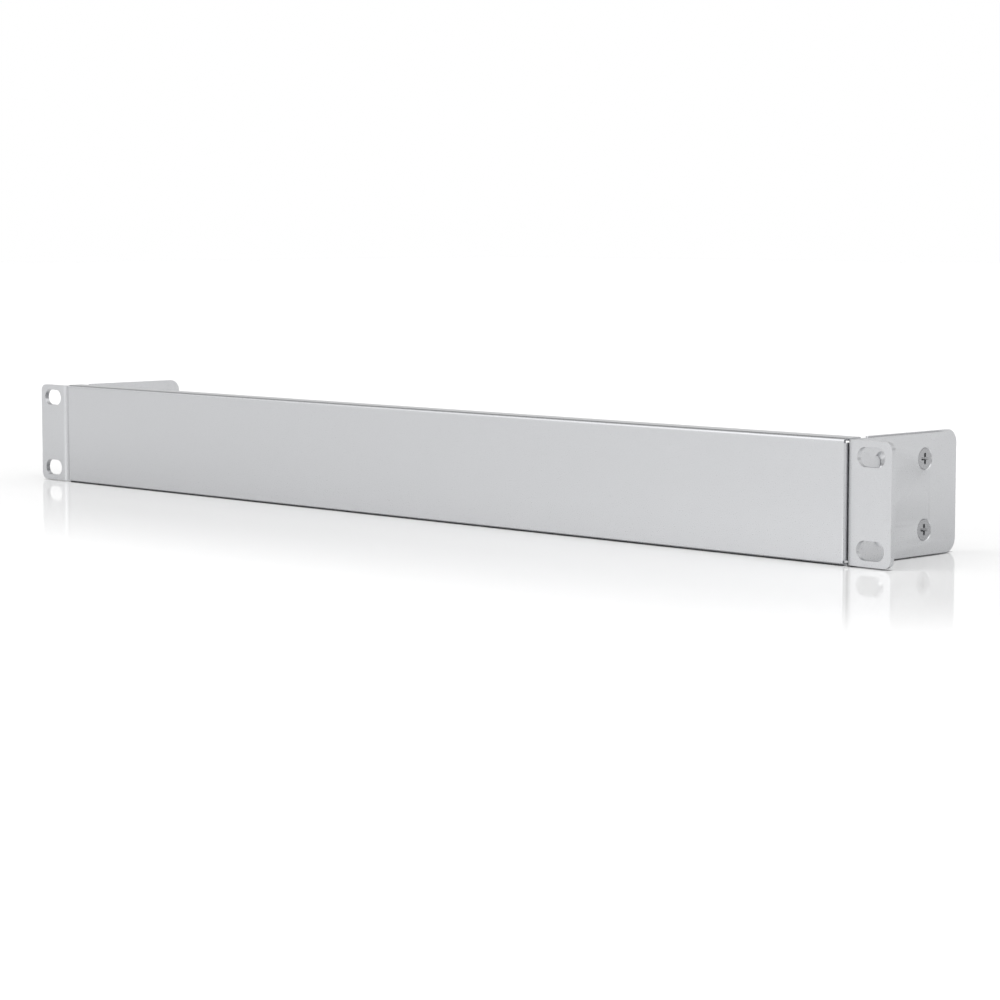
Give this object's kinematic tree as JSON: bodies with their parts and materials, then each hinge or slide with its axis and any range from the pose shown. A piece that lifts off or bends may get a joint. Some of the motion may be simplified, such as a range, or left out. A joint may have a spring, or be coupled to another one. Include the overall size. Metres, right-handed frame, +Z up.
{
  "type": "rack blanking panel",
  "caption": "Flat cover plate that closes an empty rack unit, folded back at its edges, with slotted ears on L-brackets screwed to its ends.",
  "frame": {"origin": "centre of the four mounting slots, on the plane where the backs of the ears seat on the rack's rails", "axes": "+X to the right as seen from the front, +Y back into the rack, +Z up"},
  "size_m": [0.4826, 0.063, 0.0436],
  "materials": {
    "pan_coat": "steel sheet with a satin silver coat",
    "bracket_coat": "steel sheet with a satin silver coat",
    "screw_plating": "plated steel, dull",
    "nut_plating": "zinc-plated steel, dull"
  },
  "bodies": {
    "root": {"front_pan": "pan_coat", "left_bracket": "bracket_coat", "left_screw_top": "screw_plating", "left_clinch_nut_top": "nut_plating", "left_screw_bottom": "screw_plating", "left_clinch_nut_bottom": "nut_plating", "right_bracket": "bracket_coat", "right_screw_top": "screw_plating", "right_clinch_nut_top": "nut_plating", "right_screw_bottom": "screw_plating", "right_clinch_nut_bottom": "nut_plating"}
  },
  "joints": []
}
